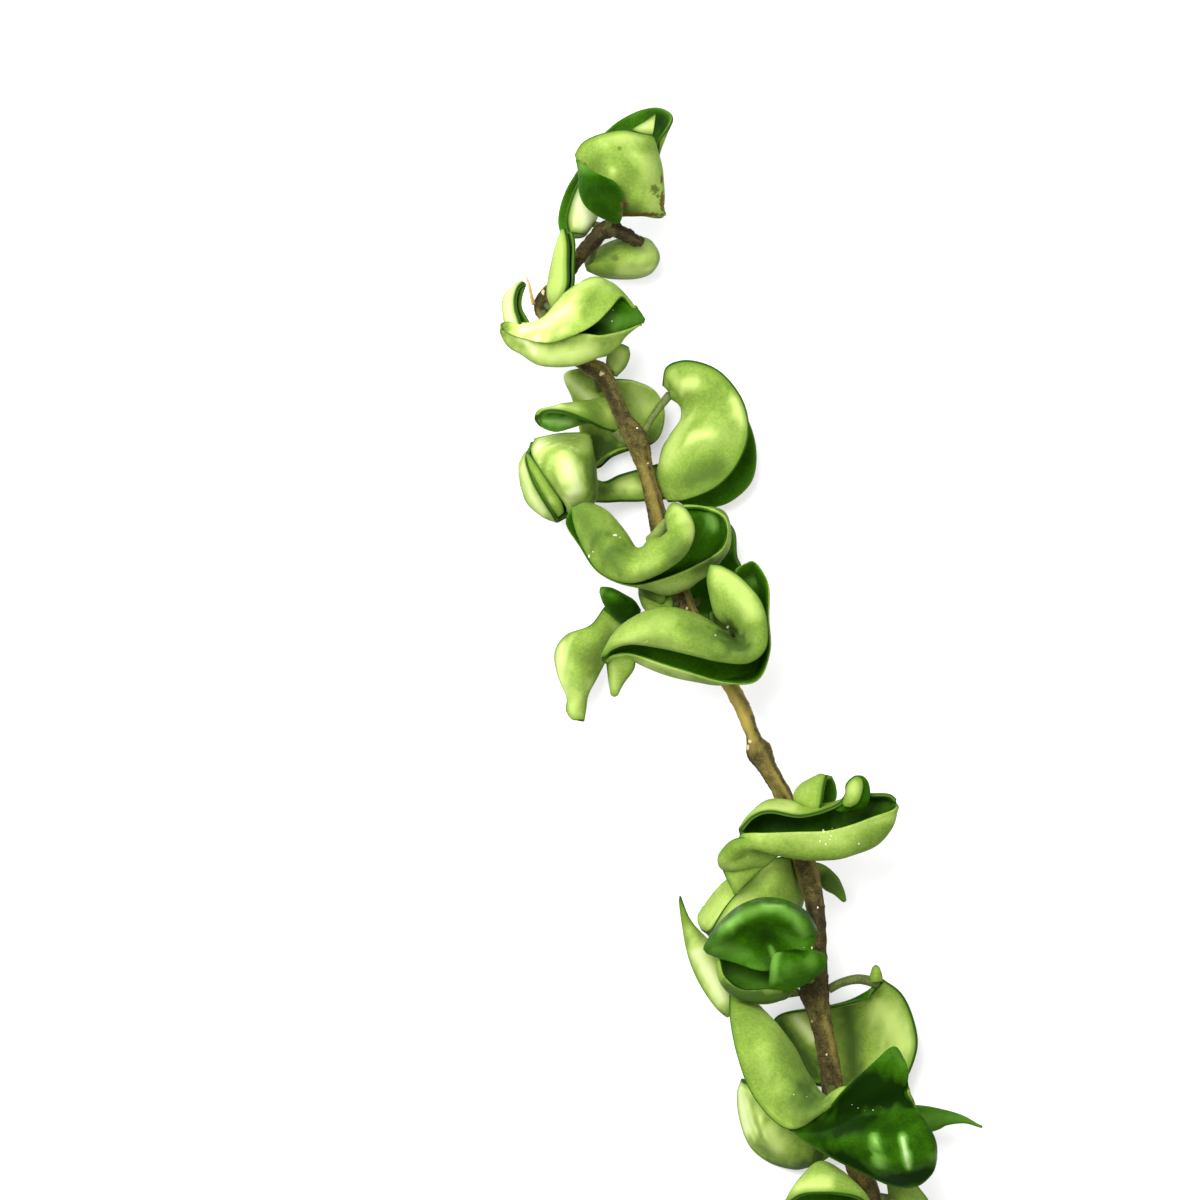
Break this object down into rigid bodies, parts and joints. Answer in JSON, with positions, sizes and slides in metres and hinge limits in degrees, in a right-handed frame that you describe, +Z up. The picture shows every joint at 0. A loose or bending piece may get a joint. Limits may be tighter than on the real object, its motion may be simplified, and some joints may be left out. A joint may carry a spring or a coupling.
{
  "type": "hindu rope plant",
  "caption": "Cut length of a vine: thick leaves folded and curled like rope crowd the nodes of a bending brown stem. It lies on its lowest leaves.",
  "frame": {"origin": "centre of the footprint, on the surface that the lowest leaves rest on", "axes": "+Y along the vine towards its growing tip, +Z up from the surface, +X to the right seen from above"},
  "size_m": [0.097, 0.2312, 0.0366],
  "materials": {
    "stem_bark": "matt, speckled brown to olive bark with pale scars",
    "leaf_pale": "fleshy semi-gloss leaf underside, yellow-green, its upper side dark green inside the fold",
    "leaf_dark": "glossy dark green upper side of a fleshy leaf"
  },
  "bodies": {
    "root": {"stem": "stem_bark", "leaf_n1_top": "leaf_pale", "leaf_n1_left": "leaf_pale", "leaf_n1_right": "leaf_pale", "leaf_n2_upright": "leaf_pale", "leaf_n2_boat": "leaf_pale", "leaf_n3_lobe": "leaf_pale", "leaf_n3_round": "leaf_pale", "leaf_n4_left": "leaf_pale", "leaf_n4_kidney": "leaf_pale", "leaf_n5_left": "leaf_pale", "leaf_n5_front": "leaf_pale", "leaf_n6_back": "leaf_dark", "leaf_n6_curl": "leaf_pale", "leaf_n6_left": "leaf_pale", "leaf_n6_front": "leaf_pale", "leaf_n8_front": "leaf_pale", "leaf_n8_back": "leaf_pale", "leaf_n9_dome": "leaf_dark", "leaf_n9_left": "leaf_pale", "leaf_n9_right": "leaf_pale", "leaf_n10_front": "leaf_pale", "leaf_n10_back": "leaf_pale", "leaf_n11_left": "leaf_pale", "leaf_n11_right": "leaf_pale"}
  },
  "joints": []
}
